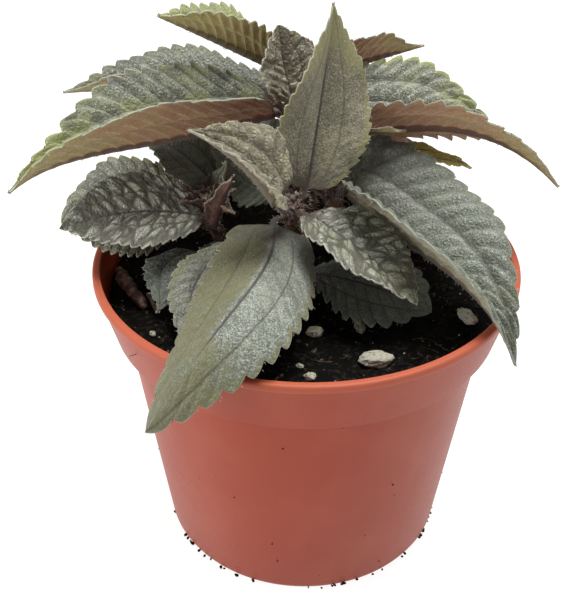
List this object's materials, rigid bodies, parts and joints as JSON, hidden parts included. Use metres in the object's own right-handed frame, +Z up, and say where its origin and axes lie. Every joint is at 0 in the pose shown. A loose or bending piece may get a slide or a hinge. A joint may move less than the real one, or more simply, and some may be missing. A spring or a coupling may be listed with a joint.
{
  "type": "potted friendship plant",
  "caption": "Young friendship plant with quilted silver-green toothed leaves in a tapered terracotta-coloured plastic nursery pot of peat soil.",
  "frame": {"origin": "centre of the pot's underside, where it stands", "axes": "+Z up, -Y towards the side of the plant that the picture shows, +X to the right of that view"},
  "size_m": [0.151, 0.1437, 0.159],
  "materials": {
    "pot": "thin moulded polypropylene in terracotta orange, satin, with a slightly glossier rolled rim",
    "soil": "near-black moist peat, crumbly and fibrous",
    "leaf": "matt, quilted and finely hairy, silvery grey-green above with olive margins, reddish brown beneath",
    "stem": "fleshy reddish-brown stem with short pale hairs",
    "perlite": "off-white porous grain, chalky",
    "dry_stalk": "dry, cracked, reddish-brown stalk"
  },
  "bodies": {
    "root": {"dry_stub": "dry_stalk", "dry_twig": "dry_stalk", "grain_front": "perlite", "grain_left": "perlite", "grain_middle": "perlite", "grain_pebble": "perlite", "grain_rear": "perlite", "grain_rear_left": "perlite", "grain_shaded": "perlite", "grain_small": "perlite", "grain_speckled": "perlite", "leaf_back_centre": "leaf", "leaf_back_long_left": "leaf", "leaf_back_low_left": "leaf", "leaf_back_right": "leaf", "leaf_back_small": "leaf", "leaf_front_hanging": "leaf", "leaf_front_low_left": "leaf", "leaf_front_low_right": "leaf", "leaf_front_lower_right": "leaf", "leaf_front_under_left": "leaf", "leaf_front_upper_left": "leaf", "leaf_front_upright": "leaf", "leaf_left_bud": "leaf", "leaf_left_inner": "leaf", "leaf_left_main": "leaf", "leaf_left_rear": "leaf", "leaf_left_under": "leaf", "leaf_rear_back_left": "leaf", "leaf_rear_back_right": "leaf", "leaf_rear_centre": "leaf", "leaf_rear_left": "leaf", "leaf_rear_low_left": "leaf", "leaf_rear_low_right": "leaf", "leaf_rear_middle": "leaf", "leaf_rear_right": "leaf", "leaf_rear_top_left": "leaf", "leaf_rear_top_right": "leaf", "leaf_right_back": "leaf", "leaf_right_big": "leaf", "leaf_right_rear": "leaf", "pot": "pot", "soil": "soil", "stem_back": "stem", "stem_front": "stem", "stem_left": "stem", "stem_rear": "stem", "stem_right": "stem"}
  },
  "joints": []
}
